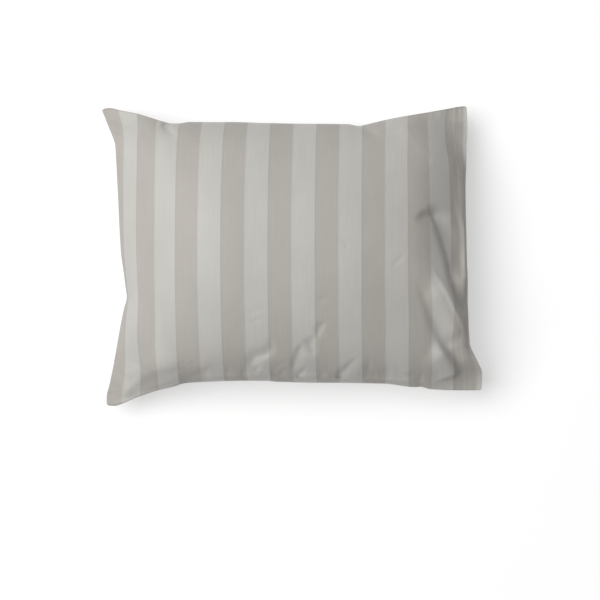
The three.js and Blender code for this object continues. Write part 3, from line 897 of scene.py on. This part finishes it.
# The tone on each kind of line, as a share of the yarn's own: a stripe's border, the hem's row of
# stitches, and the line beside a seam.
BORDER_TONE = 0.955
STITCH_TONE = 0.93
SEAM_TONE = 0.86
BRIGHT_ROUGHNESS = 0.50
DULL_ROUGHNESS = 0.60
print("stripes on the flat front:", round(FLAT_WIDTH / STRIPE, 1))

# %% Small helpers for the material's nodes
# A soft line is at full strength over this share of its half width.
LINE_CORE = 0.4


def add_node(tree, kind, inputs=None, **settings):
    """A node with its settings and unlinked inputs filled in."""
    node = tree.nodes.new(kind)
    for name, value in settings.items():
        setattr(node, name, value)
    for name, value in (inputs or {}).items():
        node.inputs[name].default_value = value
    return node


def maths(tree, operation, *values):
    """A Math node on its values, each a number or a socket."""
    node = add_node(tree, "ShaderNodeMath", operation=operation)
    for socket, value in zip(node.inputs, values):
        if isinstance(value, (int, float)):
            socket.default_value = value
        else:
            tree.links.new(value, socket)
    return node.outputs[0]


def stretched_noise(tree, cloth, across, along, detail=FINE_DETAIL):
    """Noise from 0 to 1 whose grains are so many mm wide, and so many long, on the flat cloth."""
    mapping = add_node(tree, "ShaderNodeMapping", {"Scale": (1 / (across * MM), 1 / (along * MM), 1)})
    tree.links.new(cloth, mapping.inputs["Vector"])
    noise = add_node(tree, "ShaderNodeTexNoise", {"Scale": 1.0, "Detail": detail, "Roughness": 0.55})
    tree.links.new(mapping.outputs[0], noise.inputs["Vector"])
    return noise.outputs[0]


def mixed(tree, share, first, second):
    """A number that goes from the first to the second as the share goes from 0 to 1."""
    change = maths(tree, "SUBTRACT", second, first)
    return maths(tree, "MULTIPLY_ADD", change, share, first)


def around(tree, noise, share):
    """A factor about 1 that swings by a share of itself with the noise."""
    return maths(tree, "MULTIPLY_ADD", maths(tree, "SUBTRACT", noise, 0.5), 2 * share, 1.0)


def line_at(tree, value, place, half):
    """1 on a thin line where the value is at the place, 0 elsewhere, with soft edges. All in metres."""
    away = maths(tree, "ABSOLUTE", maths(tree, "SUBTRACT", value, place))
    span = {"From Min": half, "From Max": half * LINE_CORE}
    fade = add_node(tree, "ShaderNodeMapRange", span, clamp=True)
    tree.links.new(away, fade.inputs["Value"])
    return fade.outputs[0]


# %% [markdown]
# The material has three parts: the pattern of stripes and stitches, the tone that the pattern gives
# the yarn, and the relief. Each is a number for each point of the flat cloth, made by a few Math
# nodes, and together they drive one Principled shader with a little sheen.

# %% The pattern: stripes, pin stripes and the hem's stitches


def stripe_pattern(tree, along):
    """1 in a dull stripe, 1 on the line just past a border, and a wave for the pin stripes that
    lie there in the dull stripes."""
    from_first = maths(tree, "SUBTRACT", along, FIRST_STRIPE * MM)
    pair = maths(tree, "FLOORED_MODULO", from_first, 2 * STRIPE * MM)
    dull = maths(tree, "GREATER_THAN", pair, STRIPE * MM)
    within = maths(tree, "FLOORED_MODULO", from_first, STRIPE * MM)
    border = line_at(tree, within, BORDER_PLACE * MM, BORDER_LINE * MM)
    wave = maths(tree, "SINE", maths(tree, "MULTIPLY", within, 2 * np.pi / (PIN_STRIPE * MM)))
    in_band = maths(tree, "MULTIPLY", dull, maths(tree, "LESS_THAN", within, PIN_STRIPES_OVER * MM))
    return dull, border, maths(tree, "MULTIPLY", wave, in_band)


def hem_stitches(tree, along, up):
    """1 on the line that the hem is sewn along, and 1 on its stitches, which are dashes there."""
    from_mouth = maths(tree, "SUBTRACT", FLAT_WIDTH * MM, maths(tree, "ABSOLUTE", along))
    row = line_at(tree, from_mouth, (HEM_WIDTH - STITCH_FROM_HEM) * MM, STITCH_LINE * MM)
    in_stitch = maths(tree, "FLOORED_MODULO", up, STITCH_LENGTH * MM)
    dash = maths(tree, "LESS_THAN", in_stitch, STITCH_SHARE * STITCH_LENGTH * MM)
    return row, maths(tree, "MULTIPLY", row, dash)


# %% The tone and the relief


def satin_tone(tree, up, noises, border, pin_stripes, row):
    """A factor about 1 on the yarn's colour: streaks and clouds, pin stripes, and darker lines at
    the stripes' borders, on the hem's stitches and beside the two seams."""
    streaks, clouds = noises
    tone = maths(tree, "MULTIPLY", around(tree, streaks, STREAK_SHARE), around(tree, clouds, CLOUD_SHARE))
    tone = maths(tree, "MULTIPLY", tone, mixed(tree, border, 1.0, BORDER_TONE))
    pin_tone = maths(tree, "MULTIPLY_ADD", pin_stripes, PIN_STRIPE_SHARE, 1.0)
    tone = maths(tree, "MULTIPLY", tone, pin_tone)
    tone = maths(tree, "MULTIPLY", tone, mixed(tree, row, 1.0, STITCH_TONE))
    for edge_place in (SEAM_INSET * MM, (FLAT_HEIGHT - SEAM_INSET) * MM):
        seam = line_at(tree, up, edge_place, SEAM_LINE * MM)
        tone = maths(tree, "MULTIPLY", tone, mixed(tree, seam, 1.0, SEAM_TONE))
    return tone


def satin_relief(tree, cloth, dull, row, stitches):
    """The height of the cloth's face in metres. Its floats of yarn lie along the bright stripes and
    across the dull ones, on soft ripples. The hem's line is sunk, and its stitches stand on it."""
    warp = stretched_noise(tree, cloth, FLOAT_WIDTH, FLOAT_LENGTH)
    weft = stretched_noise(tree, cloth, FLOAT_LENGTH, FLOAT_WIDTH)
    ripples = stretched_noise(tree, cloth, RIPPLE, RIPPLE_LENGTH, CLOUDY_DETAIL)
    relief = maths(tree, "MULTIPLY", mixed(tree, dull, warp, weft), FLOAT_DEPTH * MM)
    relief = maths(tree, "MULTIPLY_ADD", ripples, RIPPLE_DEPTH * MM, relief)
    relief = maths(tree, "MULTIPLY_ADD", row, -SUNK_LINE * MM, relief)
    return maths(tree, "MULTIPLY_ADD", stitches, STITCH_HEIGHT * MM, relief)


# %% The satin's material


def satin_material():
    """One shader: the pattern sets its colour and roughness, and the relief its bump."""
    material = bpy.data.materials.new("satin_stripe")
    material.use_nodes = True
    tree = material.node_tree
    tree.nodes.clear()
    link = tree.links.new
    output = add_node(tree, "ShaderNodeOutputMaterial")
    gloss = {"Sheen Weight": 0.08, "Sheen Roughness": 0.4, "Specular IOR Level": 0.22}
    surface = add_node(tree, "ShaderNodeBsdfPrincipled", gloss)
    link(surface.outputs[0], output.inputs["Surface"])
    cloth = add_node(tree, "ShaderNodeUVMap", uv_map="flat_cloth").outputs[0]
    split = add_node(tree, "ShaderNodeSeparateXYZ")
    link(cloth, split.inputs[0])
    along, up = split.outputs[0], split.outputs[1]

    dull, border, pin_stripes = stripe_pattern(tree, along)
    row, stitches = hem_stitches(tree, along, up)
    streaks = stretched_noise(tree, cloth, STREAK_WIDTH, STREAK_LENGTH)
    clouds = stretched_noise(tree, cloth, CLOUD, CLOUD_LENGTH, CLOUDY_DETAIL)

    yarn = add_node(tree, "ShaderNodeMix", data_type="RGBA")
    yarn.inputs["A"].default_value = (*BRIGHT_SATIN, 1)
    yarn.inputs["B"].default_value = (*DULL_SATIN, 1)
    link(dull, yarn.inputs["Factor"])
    shade = add_node(tree, "ShaderNodeVectorMath", operation="SCALE")
    link(yarn.outputs["Result"], shade.inputs[0])
    link(satin_tone(tree, up, (streaks, clouds), border, pin_stripes, row), shade.inputs["Scale"])
    link(shade.outputs[0], surface.inputs["Base Color"])

    rough = mixed(tree, dull, BRIGHT_ROUGHNESS, DULL_ROUGHNESS)
    rough = maths(tree, "MULTIPLY", rough, around(tree, streaks, STREAK_SHARE))
    link(rough, surface.inputs["Roughness"])

    bump = add_node(tree, "ShaderNodeBump", {"Strength": 1.0, "Distance": 1.0})
    link(satin_relief(tree, cloth, dull, row, stitches), bump.inputs["Height"])
    link(bump.outputs[0], surface.inputs["Normal"])
    return material


case.data.materials.append(satin_material())
print("nodes in the satin:", len(case.active_material.node_tree.nodes))

# %% [markdown]
# ## Floor and light
#
# The photograph's light comes from above and a little from the upper left, from a large soft
# source, with weak light from all round: the left and upper slopes are as bright as the crown, and
# the right and lower slopes are dark. There is no shadow on its pale ground, so the floor here
# glows a little of its own, which leaves only a faint one.

# %% The floor. Its side is in metres and its drop in mm
FLOOR_SIDE = 24.0
FLOOR_DROP = 0.5
FLOOR_GREY = 0.45
FLOOR_GLOW = 0.5
FLOOR_ROUGHNESS = 0.8


def add_floor():
    """A plain pale floor just under the case, with a painted glow of its own that keeps its shadow faint.
    """
    side = FLOOR_SIDE / 2
    corners = [(-side, -side, 0), (side, -side, 0), (side, side, 0), (-side, side, 0)]
    mesh = bpy.data.meshes.new("floor")
    mesh.from_pydata(corners, [], [(0, 1, 2, 3)])
    floor = bpy.data.objects.new("floor", mesh)
    bpy.context.scene.collection.objects.link(floor)
    floor.location.z = -FLOOR_DROP * MM
    material = bpy.data.materials.new("floor_paint_and_glow")
    material.use_nodes = True
    surface = material.node_tree.nodes["Principled BSDF"]
    surface.inputs["Base Color"].default_value = (FLOOR_GREY, FLOOR_GREY, FLOOR_GREY, 1)
    surface.inputs["Roughness"].default_value = FLOOR_ROUGHNESS
    # The emission is painted light: the floor glows, which lightens its shadow and lights the case a
    # little from below.
    surface.inputs["Emission Color"].default_value = (1, 1, 1, 1)
    surface.inputs["Emission Strength"].default_value = FLOOR_GLOW
    mesh.materials.append(material)


add_floor()
print("floor's side in m:", FLOOR_SIDE)

# %% The light. Its place and size are in metres, its power in watts
WORLD_STRENGTH = 0.17
KEY_PLACE = (-4.1, 1.5, 8.0)
KEY_SIZE = 7.0
KEY_POWER = 1080


def add_area_light(name, place, size, power):
    """A square soft light that faces the case."""
    data = bpy.data.lights.new(name, "AREA")
    data.size = size
    data.energy = power
    light = bpy.data.objects.new(name, data)
    bpy.context.scene.collection.objects.link(light)
    light.location = place
    light.rotation_euler = Vector(place).to_track_quat("Z", "Y").to_euler()


def add_world(strength):
    """Even light from all round."""
    world = bpy.data.worlds.new("studio")
    world.use_nodes = True
    background = world.node_tree.nodes["Background"]
    background.inputs["Color"].default_value = (1, 1, 1, 1)
    background.inputs["Strength"].default_value = strength
    bpy.context.scene.world = world


add_world(WORLD_STRENGTH)
add_area_light("key_light", KEY_PLACE, KEY_SIZE, KEY_POWER)
print("the light stands off by, in m:", round(Vector(KEY_PLACE).length, 1))

# %% [markdown]
# ## Handing over
#
# The case doesn't move on its own, so it rides on the part's one body. It takes the place of the
# imported solid, which is hidden.

# %% Handing over
bpy.context.scene.view_settings.view_transform = "Standard"
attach(case, "root")
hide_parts("pillowcase")
